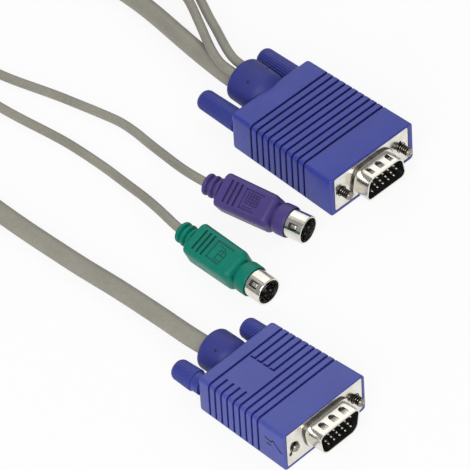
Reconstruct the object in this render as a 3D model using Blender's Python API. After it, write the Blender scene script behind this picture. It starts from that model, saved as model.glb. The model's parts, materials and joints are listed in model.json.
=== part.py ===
"""A keyboard, video and mouse cable laid out on a floor, in metres.

Two fifteen-pin D connectors with thumbscrews are joined by a trunk cable, and two thin
leads leave the first connector for a keyboard plug and a mouse plug. The first
connector is the part's own body: the origin is below its middle, +X is the way it
plugs in and +Z is up. Lengths below are millimetres.
"""

import math

import bmesh
import bpy
from mathutils import Matrix, Vector
from mathutils.geometry import interpolate_bezier

MM = 0.001
SMOOTH_BELOW = math.radians(38)

# Clearances between separate pieces.
PIECE_GAP = 0.3
SEAT_GAP = 0.15
PRESS_GAP = 0.1
CONTACT_GAP = 0.12

# The fifteen-pin connector, from its known standard.
D_WIDTH = 16.92
D_HEIGHT = 8.36
D_SLOPE = math.radians(10)
D_CORNER = 2.0
D_WALL = 0.5
D_LENGTH = 6.0
SCREW_SPACING = 24.99
SCREW_RADIUS = 1.42
THREAD_DEPTH = 0.22
THREAD_PITCH = 0.635
THREAD_LENGTH = 5.8
PIN_RADIUS = 0.38
PIN_TIP = 5.45
PIN_PITCH = D_WIDTH / 7.39
PIN_ROW = 1.98
PIN_SHIFT = PIN_PITCH / 4
INSULATOR_FRONT = 0.8
INSULATOR_BACK = -3.0

# The flange that the D shell stands on.
PLATE_WIDTH = 30.8
PLATE_HEIGHT = 12.5
PLATE_THICK = 0.8
PLATE_CORNER = 0.5
SKIRT_OUT = 0.85
SKIRT_LENGTH = 1.1
SCREW_HOLE = 2.0

# The moulded hoods: one with ten grooves, and a shorter one with nine.
HOOD_TOP_ROUND = 1.3
HOOD_BOTTOM_ROUND = 1.0
HOOD_END_ROUND = 1.6
GROOVE_WIDE = 0.84
GROOVE_DEEP = 0.6
GROOVE_WALL = 0.1
BORE_RADIUS = SCREW_RADIUS + PIECE_GAP
COLLAR_RADIUS = 2.3
COLLAR_LENGTH = 3.3
RECESS_RADIUS = COLLAR_RADIUS + PIECE_GAP
RECESS_DEEP = COLLAR_LENGTH + PIECE_GAP
BOSS_END_ROUND = 1.4
NECK_RADIUS = 3.1

HOOD_A = {
    "length": 42.6,
    "front": 34.8,
    "rear": 32.6,
    "height": 14.5,
    "drop": 0.3,
    "axis": 7.5,
    "grooves": [-33.9 + 2.52 * i for i in range(10)],
    "blank": None,
    "boss": 12.0,
    "boss_radius": 7.05,
    "boss_root": 9.2,
    "boss_z": 9.8,
    "setbacks": (0.0, 0.0),
    "tip": 3.75,
    "knob": 16.2,
    "wide_up": -1,
}
HOOD_B = {
    "length": 35.3,
    "front": 33.2,
    "rear": 30.8,
    "height": 14.0,
    "drop": 0.8,
    "axis": 7.3,
    "grooves": [-30.6 + 2.49 * i for i in range(9)],
    "blank": (-10.1, 0.6),
    "boss": 9.8,
    "boss_radius": 6.6,
    "boss_root": 7.1,
    "boss_z": 7.1,
    "setbacks": (2.95, 0.0),
    "tip": 2.95,
    "knob": 8.5,
    "wide_up": 1,
}

# The thumbscrew's ribbed head.
KNOB_FRONT = 3.55
KNOB_REAR = 3.3
KNOB_ROUND = 1.9
KNOB_RIBS = 20
RIB_DEEP = 0.16

# The six-pin round plugs.
ROUND_SHELL = 4.4
ROUND_WALL = 0.45
ROUND_SHELL_OUT = 5.8
ROUND_SHELL_IN = 1.8
ROUND_COLLAR = 5.0
ROUND_COLLAR_LENGTH = 5.2
ROUND_BODY_LENGTH = 18.9
ROUND_BODY_WIDE = 5.45
ROUND_BODY_TALL = 5.0
ROUND_BODY_CORNER = 2.3
RELIEF_LENGTH = 6.6
RELIEF_RADIUS = 3.5
RELIEF_GROOVE = 0.65
ROUND_BLOCK_FRONT = -4.0
ROUND_PIN_TIP = -1.2
ROUND_PIN_RADIUS = 0.45
BAR_DEEP = 0.35
WINDOW_TILT = math.radians(22)
BAR_LENGTH = 7.4
BAR_WIDE = 0.7

# Cables.
TRUNK_RADIUS = 3.0
LEAD_RADIUS = 1.45
TRUNK_STEP = 6 * TRUNK_RADIUS
LEAD_STEP = 7 * LEAD_RADIUS
SOCKET_DEEP = 1.5
CABLE_IN = 0.5
TRUNK_IN_A = (-0.4, -2.1)
LEAD_UP = 0.9
LEADS_IN_A = ((-2.6, 2.9), (1.4, 3.4))
TRUNK_IN_B = (0.0, -1.0)
COIL_TURNS_WIDE = 3
COIL_LAYERS = 2
COIL_MEAN = 12 * TRUNK_RADIUS
TIE_THICK = 0.8
TIE_GAP = 0.45
TIE_WIDE = 6.0

# Where things lie on the floor, from the middle of the first hood's front face.
FRAME_X = (HOOD_A["length"] + HOOD_A["knob"] - D_LENGTH) / 2
B_PLACE = (62.336, -82.428)
B_TURN = 0.022
KEYBOARD_RIM = (3.5, -30.15, 6.35)
KEYBOARD_TURN = math.radians(10.2)
KEYBOARD_ROLL = math.radians(32)
MOUSE_RIM = (12.9, -55.72, 6.1)
MOUSE_TURN = math.radians(-0.4)
MOUSE_ROLL = math.radians(22)
COIL_PLACE = (-224.0, -38.0)


def clear_scene():
    for thing in list(bpy.data.objects):
        bpy.data.objects.remove(thing)


def make_material(name, colour, metallic, roughness):
    made = bpy.data.materials.new(name)
    made.use_nodes = True
    shader = made.node_tree.nodes["Principled BSDF"]
    shader.inputs["Base Color"].default_value = (*colour, 1)
    shader.inputs["Metallic"].default_value = metallic
    shader.inputs["Roughness"].default_value = roughness
    return made


def frame_at(x, y, turn):
    """From a connector's own millimetres to the part's metres."""
    move = Matrix.Translation((x + FRAME_X, y, 0))
    return Matrix.Scale(MM, 4) @ move @ Matrix.Rotation(turn, 4, "Z")


def plug_at(rim, turn, roll):
    """A round plug's place: its rim's middle, then the turn of its axis and its roll."""
    move = Matrix.Translation((rim[0] + FRAME_X, rim[1], rim[2]))
    turned = Matrix.Rotation(turn, 4, "Z") @ Matrix.Rotation(roll, 4, "X")
    return Matrix.Scale(MM, 4) @ move @ turned


def ring_of(x, outline):
    return [Vector((x, y, z)) for y, z in outline]


def shifted(outline, y, z):
    return [(a + y, b + z) for a, b in outline]


def loft(rings, closed_loop=False):
    """A closed skin through rings of equal count, with flat ends or joined end to end."""
    shape = bmesh.new()
    rows = [[shape.verts.new(point) for point in ring] for ring in rings]
    count = len(rows[0])
    pairs = list(zip(rows, rows[1:]))
    if closed_loop:
        pairs.append((rows[-1], rows[0]))
    for low, high in pairs:
        for i in range(count):
            j = (i + 1) % count
            shape.faces.new((low[i], low[j], high[j], high[i]))
    if not closed_loop:
        shape.faces.new(rows[0])
        shape.faces.new(rows[-1])
    bmesh.ops.recalc_face_normals(shape, faces=shape.faces)
    return shape


def add_object(name, shape, place, material):
    shape.transform(place)
    mesh = bpy.data.meshes.new(name)
    shape.to_mesh(mesh)
    shape.free()
    for face in mesh.polygons:
        face.use_smooth = True
    mesh.set_sharp_from_angle(angle=SMOOTH_BELOW)
    made = bpy.data.objects.new(name, mesh)
    bpy.context.scene.collection.objects.link(made)
    if material:
        mesh.materials.append(material)
    return made


def add_cutter(name, shape, place):
    cutter = add_object(name, shape, place, None)
    cutter.hide_render = True
    cutter.display_type = "WIRE"
    return cutter


def boolean(target, tool, operation):
    step = target.modifiers.new(tool.name, "BOOLEAN")
    step.operation = operation
    step.solver = "EXACT"
    step.object = tool


def rounded(corners, radii, steps):
    """The outline of a polygon, given anticlockwise, with each corner rounded."""
    outline = []
    count = len(corners)
    for i, (corner, radius) in enumerate(zip(corners, radii)):
        here = Vector(corner)
        back = (Vector(corners[i - 1]) - here).normalized()
        onward = (Vector(corners[(i + 1) % count]) - here).normalized()
        half = back.angle(onward) / 2
        centre = here + (back + onward).normalized() * radius / math.sin(half)
        start = here + back * radius / math.tan(half) - centre
        sweep = math.pi - 2 * half
        for k in range(steps + 1):
            turn = Matrix.Rotation(sweep * k / steps, 2)
            outline.append(tuple(centre + turn @ start))
    return outline


def circle(radius, count):
    angles = [2 * math.pi * (i + 0.5) / count for i in range(count)]
    return [(radius * math.cos(a), radius * math.sin(a)) for a in angles]


def slab(width, height, corner, steps):
    a, b = width / 2, height / 2
    corners = [(-a, -b), (a, -b), (a, b), (-a, b)]
    return rounded(corners, [corner] * 4, steps)


def d_outline(grow, wide_up):
    """The D shape, larger all round by grow, with its wide side up or down."""
    half_height = D_HEIGHT / 2 + grow
    middle = D_WIDTH / 2 - D_HEIGHT / 2 * math.tan(D_SLOPE) + grow / math.cos(D_SLOPE)
    lean = half_height * math.tan(D_SLOPE) * wide_up
    low, high = middle - lean, middle + lean
    corners = [
        (-low, -half_height),
        (low, -half_height),
        (high, half_height),
        (-high, half_height),
    ]
    return rounded(corners, [D_CORNER + grow] * 4, 5)


def hood_ring(spec, x, half, end, groove):
    """One section of the hood, and how far each of its points sinks into a groove.

    end runs from 0 on the straight part to 1 at the rear face, and groove is 0 to 1.
    """
    wide = half - HOOD_END_ROUND * end
    top = spec["height"] + spec["drop"] * x / spec["length"]
    top -= 0.6 * HOOD_END_ROUND * end
    low, high = HOOD_BOTTOM_ROUND, HOOD_TOP_ROUND
    points = [(-wide + low, 0, 0, 0), (wide - low, 0, 0, 0)]
    for degrees in (-45, 0):
        a = math.radians(degrees)
        y, z = wide - low + low * math.cos(a), low + low * math.sin(a)
        points.append((y, z, math.cos(a), 0))
    for degrees in (0, 22.5, 45, 67.5, 90):
        a = math.radians(degrees)
        y, z = wide - high + high * math.cos(a), top - high + high * math.sin(a)
        points.append((y, z, math.cos(a), math.sin(a)))
    if spec["blank"]:
        left, right = spec["blank"]
        for y in (right + GROOVE_WALL, right, left, left - GROOVE_WALL):
            points.append((y, top, 0, 1))
    for degrees in (90, 112.5, 135, 157.5, 180):
        a = math.radians(degrees)
        y, z = high - wide + high * math.cos(a), top - high + high * math.sin(a)
        points.append((y, z, math.cos(a), math.sin(a)))
    for degrees in (180, 225):
        a = math.radians(degrees)
        y, z = low - wide + low * math.cos(a), low + low * math.sin(a)
        points.append((y, z, math.cos(a), 0))
    ring = []
    for y, z, across, up in points:
        deep = GROOVE_DEEP * groove
        if groove and spec["blank"] and x in spec["broken"] and z == top:
            left, right = spec["blank"]
            deep *= not left <= y <= right
        ring.append(Vector((x, y - across * deep, z - up * deep)))
    return ring


def hood_body(spec):
    length = spec["length"]
    stations = []
    for degrees in (90, 60, 30, 0):
        a = math.radians(degrees)
        back = HOOD_END_ROUND * (1 - math.sin(a))
        stations.append((-length + back, 1 - math.cos(a), 0))
    spec["broken"] = set()
    for number, middle in enumerate(spec["grooves"]):
        outer = GROOVE_WIDE / 2
        inner = outer - GROOVE_WALL
        cuts = [(-outer, 0), (-inner, 1), (inner, 1), (outer, 0)]
        for offset, depth in cuts:
            stations.append((middle + offset, 0, depth))
            if 1 <= number <= 4:
                spec["broken"].add(middle + offset)
    stations.append((0, 0, 0))
    rings = []
    for x, end, groove in stations:
        share = -x / length
        half = (spec["front"] * (1 - share) + spec["rear"] * share) / 2
        rings.append(hood_ring(spec, x, half, end, groove))
    return loft(rings)


def boss_body(spec):
    """The round strain relief, running from inside the hood to its rounded end."""
    root = -spec["length"]
    end = root - spec["boss"]
    full = spec["boss_radius"]
    stations = [(root + 1.8, full - 2.4), (root + 0.8, full - 1.6)]
    stations += [(root - 0.02, full - 0.6), (root - 0.5, full - 0.2), (root - 1.4, full)]
    for degrees in (0, 30, 60, 90):
        a = math.radians(degrees)
        x = end + BOSS_END_ROUND * (1 - math.sin(a))
        stations.append((x, full - BOSS_END_ROUND * (1 - math.cos(a))))
    rings = []
    for x, radius in stations:
        share = max((root - x) / spec["boss"], 0)
        middle = spec["boss_root"] * (1 - share) + spec["boss_z"] * share
        low_limit = 0.4 - middle
        section = [(y, max(z, low_limit)) for y, z in circle(radius, 32)]
        rings.append(ring_of(x, shifted(section, 0, middle)))
    return loft(rings)


def stepped_bore(spec, side):
    """The screw's way through the hood, wider at the rear for the knob's collar."""
    y = side * SCREW_SPACING / 2
    rear = -spec["length"]
    stations = [
        (rear - 2, RECESS_RADIUS),
        (rear + RECESS_DEEP, RECESS_RADIUS),
        (rear + RECESS_DEEP, BORE_RADIUS),
        (2, BORE_RADIUS),
    ]
    rings = [
        ring_of(x, shifted(circle(r, 16), y, spec["axis"])) for x, r in stations
    ]
    return loft(rings)


def cable_socket(end, radius, y, z):
    """The blind hole that a cable enters, open beyond the strain relief's end."""
    rings = [
        ring_of(x, shifted(circle(radius + PIECE_GAP, 16), y, z))
        for x in (end - 5, end + SOCKET_DEEP)
    ]
    return loft(rings)


def make_hood(name, spec, place, cables):
    hood = add_object(name, hood_body(spec), place, BLUE)
    boss = add_cutter(name + "_boss", boss_body(spec), place)
    boolean(hood, boss, "UNION")
    pocket = slab(PLATE_WIDTH + 2 * SEAT_GAP, PLATE_HEIGHT + 2 * SEAT_GAP, 0.5, 2)
    pocket = shifted(pocket, 0, spec["axis"])
    back = -PLATE_THICK - SEAT_GAP
    cutter = loft([ring_of(back, pocket), ring_of(1, pocket)])
    boolean(hood, add_cutter(name + "_flange_pocket", cutter, place), "DIFFERENCE")
    seat = d_outline(-D_WALL + PIECE_GAP - SEAT_GAP, spec["wide_up"])
    seat = shifted(seat, 0, spec["axis"])
    back = INSULATOR_BACK - SEAT_GAP
    cutter = loft([ring_of(back, seat), ring_of(1, seat)])
    boolean(hood, add_cutter(name + "_block_pocket", cutter, place), "DIFFERENCE")
    for side in (-1, 1):
        label = name + "_bore_" + ("1" if side < 0 else "2")
        cutter = add_cutter(label, stepped_bore(spec, side), place)
        boolean(hood, cutter, "DIFFERENCE")
    end = -spec["length"] - spec["boss"]
    for number, (radius, y, z) in enumerate(cables):
        socket = cable_socket(end, radius, y, z + spec["boss_z"])
        cutter = add_cutter(name + "_socket_" + str(number), socket, place)
        boolean(hood, cutter, "DIFFERENCE")


def make_shell(name, spec, place):
    """The flange with its raised skirt and the D shell, pressed from one sheet."""
    z = spec["axis"]
    up = spec["wide_up"]
    plate = shifted(slab(PLATE_WIDTH, PLATE_HEIGHT, PLATE_CORNER, 2), 0, z)
    shape = loft([ring_of(-PLATE_THICK, plate), ring_of(0, plate)])
    shell = add_object(name, shape, place, NICKEL)
    bend = 0.35
    stations = [
        (-0.4, SKIRT_OUT),
        (SKIRT_LENGTH - bend, SKIRT_OUT),
        (SKIRT_LENGTH - 0.3 * bend, SKIRT_OUT - 0.3 * bend),
        (SKIRT_LENGTH, SKIRT_OUT - bend),
        (SKIRT_LENGTH + 0.05, bend),
        (SKIRT_LENGTH + 0.3 * bend, 0.3 * bend),
        (SKIRT_LENGTH + bend, 0),
        (D_LENGTH - 0.15, 0),
        (D_LENGTH, -0.15),
    ]
    rings = [ring_of(x, shifted(d_outline(grow, up), 0, z)) for x, grow in stations]
    boolean(shell, add_cutter(name + "_outside", loft(rings), place), "UNION")
    hollow = shifted(d_outline(-D_WALL, up), 0, z)
    cutter = loft([ring_of(-2, hollow), ring_of(D_LENGTH + 1, hollow)])
    boolean(shell, add_cutter(name + "_hollow", cutter, place), "DIFFERENCE")
    for side in (-1, 1):
        hole = shifted(circle(SCREW_HOLE, 16), side * SCREW_SPACING / 2, z)
        cutter = loft([ring_of(-2, hole), ring_of(1, hole)])
        label = name + "_hole_" + ("1" if side < 0 else "2")
        boolean(shell, add_cutter(label, cutter, place), "DIFFERENCE")


def pin_spots(spec):
    """The fifteen contacts, three rows of five, the middle row half a step aside."""
    spots = []
    for row in (1, 0, -1):
        aside = PIN_SHIFT * spec["wide_up"] * (-1 if row == 0 else 1)
        for column in range(5):
            y = (column - 2) * PIN_PITCH + aside
            spots.append((y, spec["axis"] + row * PIN_ROW))
    return spots


def make_insulator(name, spec, place):
    outline = d_outline(-D_WALL - SEAT_GAP, spec["wide_up"])
    outline = shifted(outline, 0, spec["axis"])
    ends = (INSULATOR_BACK, INSULATOR_FRONT)
    block = add_object(name, loft([ring_of(x, outline) for x in ends]), place, BLACK)
    holes = bmesh.new()
    bottom = INSULATOR_FRONT - 1.8
    for y, z in pin_spots(spec):
        hole = shifted(circle(PIN_RADIUS + CONTACT_GAP, 10), y, z)
        one = loft([ring_of(bottom, hole), ring_of(2, hole)])
        mesh = bpy.data.meshes.new(name + "_hole")
        one.to_mesh(mesh)
        one.free()
        holes.from_mesh(mesh)
    cutter = add_cutter(name + "_holes", holes, place)
    boolean(block, cutter, "DIFFERENCE")


def make_pins(name, spec, place):
    rear = INSULATOR_FRONT - 1.8 + CONTACT_GAP
    for number, (y, z) in enumerate(pin_spots(spec)):
        stations = [
            (rear, PIN_RADIUS),
            (PIN_TIP - 0.35, PIN_RADIUS),
            (PIN_TIP, 0.45 * PIN_RADIUS),
        ]
        rings = [ring_of(x, shifted(circle(r, 10), y, z)) for x, r in stations]
        add_object(f"{name}_{number + 1:02d}", loft(rings), place, CONTACT)


def ribbed(radius, deep):
    outline = []
    count = 2 * KNOB_RIBS
    for i in range(count):
        a = 2 * math.pi * i / count
        r = radius - (deep if i % 2 else 0)
        outline.append((r * math.cos(a), r * math.sin(a)))
    return outline


def make_thumbscrew(name, number, spec, place):
    """A ribbed plastic head with a collar, and the steel screw pressed into it."""
    side = -1 if number == 1 else 1
    y = side * SCREW_SPACING / 2
    z = spec["axis"]
    back = spec["setbacks"][number - 1]
    front = -spec["length"] - PIECE_GAP - back
    rear = -spec["length"] - spec["knob"] - back
    grip = front - 0.4
    stations = [(front + COLLAR_LENGTH, COLLAR_RADIUS, 0)]
    stations.append((front + back, COLLAR_RADIUS, 0))
    if back:
        stations += [(front + back, NECK_RADIUS, 0), (front, NECK_RADIUS, 0)]
    stations += [
        (front, KNOB_FRONT - 0.3, 0.05),
        (grip, KNOB_FRONT, RIB_DEEP),
        (rear + KNOB_ROUND, KNOB_REAR, RIB_DEEP),
        (rear + 0.45 * KNOB_ROUND, KNOB_REAR - 0.16 * KNOB_ROUND, RIB_DEEP),
        (rear + 0.12 * KNOB_ROUND, KNOB_REAR - 0.52 * KNOB_ROUND, 0.08),
        (rear, KNOB_REAR - KNOB_ROUND, 0),
    ]
    rings = [ring_of(x, shifted(ribbed(r, deep), y, z)) for x, r, deep in stations]
    knob = add_object(f"{name}_knob_{number}", loft(rings), place, BLUE)
    inside = front - 5
    socket = shifted(circle(SCREW_RADIUS + PRESS_GAP, 16), y, z)
    ends = (inside - PRESS_GAP, front + COLLAR_LENGTH + 1)
    cutter = loft([ring_of(x, socket) for x in ends])
    label = f"{name}_knob_{number}_socket"
    boolean(knob, add_cutter(label, cutter, place), "DIFFERENCE")
    tip = spec["tip"] - back
    stations = [(inside, SCREW_RADIUS)]
    threads = int(THREAD_LENGTH / THREAD_PITCH)
    start = tip - 0.3 - threads * THREAD_PITCH
    stations.append((start - THREAD_PITCH / 2, SCREW_RADIUS))
    for turn in range(threads):
        x = start + turn * THREAD_PITCH
        stations.append((x, SCREW_RADIUS - THREAD_DEPTH))
        stations.append((x + THREAD_PITCH / 2, SCREW_RADIUS))
    stations.append((tip, SCREW_RADIUS - 0.35))
    rings = [ring_of(x, shifted(circle(r, 12), y, z)) for x, r in stations]
    add_object(f"{name}_screw_{number}", loft(rings), place, STEEL)


def make_video_connector(name, spec, place, cables):
    make_hood(name + "_hood", spec, place, cables)
    make_shell(name + "_shell", spec, place)
    make_insulator(name + "_insulator", spec, place)
    make_pins(name + "_pin", spec, place)
    for number in (1, 2):
        make_thumbscrew(name, number, spec, place)


def round_body(colour, name, place):
    """The moulded grip of a round plug about the X axis, from ribbed relief to collar."""
    collar_front = -ROUND_SHELL_OUT
    body_front = collar_front - ROUND_COLLAR_LENGTH
    body_rear = body_front - ROUND_BODY_LENGTH
    relief_rear = body_rear - RELIEF_LENGTH
    stations = [(relief_rear, 3.1, 3.1, 3.1), (relief_rear + 0.5, 3.5, 3.5, 3.5)]
    for number in range(3):
        x = relief_rear + 1.4 + 1.9 * number
        deep = RELIEF_RADIUS - RELIEF_GROOVE
        for offset, r in ((-0.5, RELIEF_RADIUS), (-0.35, deep), (0.35, deep)):
            stations.append((x + offset, r, r, r))
        stations.append((x + 0.5, *[RELIEF_RADIUS] * 3))
    stations.append((body_rear - 0.02, *[RELIEF_RADIUS] * 3))
    wide, tall, corner = ROUND_BODY_WIDE, ROUND_BODY_TALL, ROUND_BODY_CORNER
    stations += [
        (body_rear, wide - 1.1, tall - 1.0, corner - 0.6),
        (body_rear + 0.3, wide - 0.5, tall - 0.45, corner - 0.3),
        (body_rear + 1.2, wide, tall, corner),
        (body_front - 2.6, wide, tall, corner),
        (body_front - 1.2, wide - 0.15, tall - 0.05, corner + 0.6),
        (body_front - 0.4, wide - 0.6, tall - 0.3, corner + 1.2),
        (body_front, ROUND_COLLAR - 0.25, ROUND_COLLAR - 0.45, 4.7),
    ]
    round_stations = [
        (body_front + 0.25, ROUND_COLLAR - 0.55),
        (body_front + 0.7, ROUND_COLLAR - 0.3),
        (body_front + 1.4, ROUND_COLLAR),
        (collar_front - 0.6, ROUND_COLLAR),
        (collar_front, ROUND_COLLAR - 0.3),
    ]
    stations += [(x, r, r, r) for x, r in round_stations]
    rings = []
    for x, half_wide, half_tall, radius in stations:
        radius = min(radius, half_wide - 0.01, half_tall - 0.01)
        rings.append(ring_of(x, slab(2 * half_wide, 2 * half_tall, radius, 6)))
    body = add_object(name + "_body", loft(rings), place, colour)
    seat = circle(ROUND_SHELL + SEAT_GAP, 32)
    ends = (collar_front - ROUND_SHELL_IN - SEAT_GAP, collar_front + 1)
    cutter = loft([ring_of(x, seat) for x in ends])
    boolean(body, add_cutter(name + "_seat", cutter, place), "DIFFERENCE")
    socket = cable_socket(relief_rear, LEAD_RADIUS, 0, LEAD_UP)
    boolean(body, add_cutter(name + "_socket", socket, place), "DIFFERENCE")
    for number in range(3):
        x = body_rear + 3.2 + 1.75 * number
        bar = slab(BAR_LENGTH, 2 * BAR_DEEP, 0.2, 2)
        bar = shifted(bar, 0, ROUND_BODY_TALL)
        cutter = loft([ring_of(x - BAR_WIDE / 2, bar), ring_of(x + BAR_WIDE / 2, bar)])
        label = name + "_bar_" + str(number)
        boolean(body, add_cutter(label, cutter, place), "DIFFERENCE")


def round_shell(name, place):
    rear = -ROUND_SHELL_OUT - ROUND_SHELL_IN
    inner = ROUND_SHELL - ROUND_WALL
    profile = [
        (rear, inner),
        (0, inner),
        (0, ROUND_SHELL - 0.12),
        (-0.15, ROUND_SHELL),
        (rear, ROUND_SHELL),
    ]
    rings = [ring_of(x, circle(radius, 32)) for x, radius in profile]
    shell = add_object(name + "_shell", loft(rings, True), place, NICKEL)
    window = shifted(slab(2.0, 1.4, 0.3, 2), 0, ROUND_SHELL)
    cutter = loft([ring_of(-4.6, window), ring_of(-1.6, window)])
    tilt = Matrix.Rotation(WINDOW_TILT, 4, "X")
    cutter = add_cutter(name + "_window", cutter, place @ tilt)
    boolean(shell, cutter, "DIFFERENCE")


def round_contacts(name, place):
    rear = -ROUND_SHELL_OUT - ROUND_SHELL_IN
    outline = circle(ROUND_SHELL - ROUND_WALL - SEAT_GAP, 32)
    shape = loft([ring_of(rear, outline), ring_of(ROUND_BLOCK_FRONT, outline)])
    block = add_object(name + "_contacts", shape, place, BLACK)
    spots = ((-3.2, 0.4), (3.2, 0.4), (-2.3, 2.4), (2.3, 2.4), (-1.1, -2.3), (1.1, -2.3))
    pins = bmesh.new()
    for y, z in spots:
        stations = [
            (ROUND_BLOCK_FRONT - 0.5, ROUND_PIN_RADIUS),
            (ROUND_PIN_TIP - 0.3, ROUND_PIN_RADIUS),
            (ROUND_PIN_TIP, 0.5 * ROUND_PIN_RADIUS),
        ]
        rings = [ring_of(x, shifted(circle(r, 8), y, z)) for x, r in stations]
        one = loft(rings)
        mesh = bpy.data.meshes.new(name + "_contact")
        one.to_mesh(mesh)
        one.free()
        pins.from_mesh(mesh)
    boolean(block, add_cutter(name + "_contact_pins", pins, place), "UNION")
    key = shifted(slab(2.2, 1.3, 0.2, 1), 0, 0.6)
    front = ROUND_PIN_TIP - 0.5
    rear = ROUND_BLOCK_FRONT + SEAT_GAP
    add_object(name + "_key", loft([ring_of(rear, key), ring_of(front, key)]), place, BLACK)


def make_round_plug(name, colour, place):
    round_body(colour, name, place)
    round_shell(name, place)
    round_contacts(name, place)


def smooth_route(points, spacing):
    """Evenly spaced points on a smooth curve through hand-chosen ones."""
    route = [Vector(p) for p in points]
    tangents = [route[1] - route[0]]
    for before, after in zip(route, route[2:]):
        tangents.append((after - before) / 2)
    tangents.append(route[-1] - route[-2])
    fine = []
    for i in range(len(route) - 1):
        first, last = route[i], route[i + 1]
        reach = (last - first).length / 3
        leave = first + tangents[i].normalized() * reach
        arrive = last - tangents[i + 1].normalized() * reach
        fine += interpolate_bezier(first, leave, arrive, last, 24)[:-1]
    fine.append(route[-1])
    along = [0.0]
    for before, after in zip(fine, fine[1:]):
        along.append(along[-1] + (after - before).length)
    count = max(2, round(along[-1] / spacing))
    spaced = []
    spot = 0
    for i in range(count + 1):
        wanted = along[-1] * i / count
        while spot < len(along) - 2 and along[spot + 1] < wanted:
            spot += 1
        share = (wanted - along[spot]) / (along[spot + 1] - along[spot])
        spaced.append(fine[spot].lerp(fine[spot + 1], min(share, 1)))
    return spaced


def make_tube(name, points, radius, spacing, detail):
    curve = bpy.data.curves.new(name, "CURVE")
    curve.dimensions = "3D"
    curve.bevel_depth = radius * MM
    curve.bevel_resolution = detail
    curve.use_fill_caps = True
    spaced = smooth_route(points, spacing)
    line = curve.splines.new("POLY")
    line.points.add(len(spaced) - 1)
    for spot, point in zip(line.points, spaced):
        spot.co = ((point.x + FRAME_X) * MM, point.y * MM, point.z * MM, 1)
    line.use_smooth = True
    made = bpy.data.objects.new(name, curve)
    bpy.context.scene.collection.objects.link(made)
    curve.materials.append(CABLE)


def make_coil(place):
    wide = COIL_TURNS_WIDE * 2 * TRUNK_RADIUS
    tall = COIL_LAYERS * 2 * TRUNK_RADIUS
    middle = tall / 2 + TIE_THICK + TIE_GAP
    section = slab(wide, tall, TRUNK_RADIUS, 3)
    rings = []
    for i in range(40):
        a = 2 * math.pi * i / 40
        out = Vector((math.cos(a), math.sin(a), 0))
        rings.append([out * (COIL_MEAN + y) + Vector((0, 0, middle + z)) for y, z in section])
    add_object("trunk_coil", loft(rings, True), place, CABLE)
    for number, side in ((1, -1), (2, 1)):
        inner = slab(wide + 2 * TIE_GAP, tall + 2 * TIE_GAP, TRUNK_RADIUS, 3)
        grown = 2 * (TIE_GAP + TIE_THICK)
        outer = slab(wide + grown, tall + grown, TRUNK_RADIUS + TIE_THICK, 3)
        rings = []
        for outline, y in ((inner, -1), (outer, -1), (outer, 1), (inner, 1)):
            ring = []
            for x, z in outline:
                ring.append(Vector((side * COIL_MEAN + x, y * TIE_WIDE / 2, middle + z)))
            rings.append(ring)
        add_object(f"coil_tie_{number}", loft(rings, True), place, TIE)


clear_scene()
BLUE = make_material("blue_plastic", (0.055, 0.052, 0.36), 0, 0.4)
NICKEL = make_material("nickel", (0.72, 0.69, 0.6), 1, 0.25)
BLACK = make_material("black_plastic", (0.012, 0.012, 0.014), 0, 0.4)
CONTACT = make_material("contact_metal", (0.75, 0.7, 0.55), 1, 0.25)
STEEL = make_material("screw_steel", (0.2, 0.19, 0.17), 1, 0.35)
CABLE = make_material("cable_sheath", (0.42, 0.4, 0.34), 0, 0.55)
PURPLE = make_material("purple_plastic", (0.1, 0.06, 0.25), 0, 0.4)
GREEN = make_material("green_plastic", (0.0, 0.2, 0.13), 0, 0.4)
TIE = make_material("tie_band", (0.02, 0.02, 0.022), 0, 0.5)

PLACE_A = frame_at(0, 0, 0)
PLACE_B = frame_at(*B_PLACE, B_TURN)
CABLES_A = [(TRUNK_RADIUS, *TRUNK_IN_A)]
CABLES_A += [(LEAD_RADIUS, *spot) for spot in LEADS_IN_A]
make_video_connector("vga_a", HOOD_A, PLACE_A, CABLES_A)
make_video_connector("vga_b", HOOD_B, PLACE_B, [(TRUNK_RADIUS, *TRUNK_IN_B)])
KEYBOARD_PLACE = plug_at(KEYBOARD_RIM, KEYBOARD_TURN, KEYBOARD_ROLL)
MOUSE_PLACE = plug_at(MOUSE_RIM, MOUSE_TURN, MOUSE_ROLL)
make_round_plug("keyboard_plug", PURPLE, KEYBOARD_PLACE)
make_round_plug("mouse_plug", GREEN, MOUSE_PLACE)
make_coil(frame_at(*COIL_PLACE, 0))

# Cable routes from the connectors outwards.
A_EXIT = -HOOD_A["length"] - HOOD_A["boss"] + CABLE_IN
A_Z = HOOD_A["boss_z"]
TRUNK_A = [
    (A_EXIT, TRUNK_IN_A[0], A_Z + TRUNK_IN_A[1]),
    (A_EXIT - 6.5, -0.3, 7.4),
    (-70.0, 1.0, 6.5),
    (-79.9, 2.6, 5.6),
    (-88.8, 4.2, 4.8),
    (-97.9, 5.9, 3.9),
    (-107.5, 7.1, 3.2),
    (-118, 7.2, TRUNK_RADIUS),
    (-134, 5.4, TRUNK_RADIUS),
    (-152, 2.0, TRUNK_RADIUS),
    (-170, -1.2, TRUNK_RADIUS),
    (-192.7, -2.2, TRUNK_RADIUS),
]
make_tube("trunk_a", TRUNK_A, TRUNK_RADIUS, TRUNK_STEP, 4)

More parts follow.
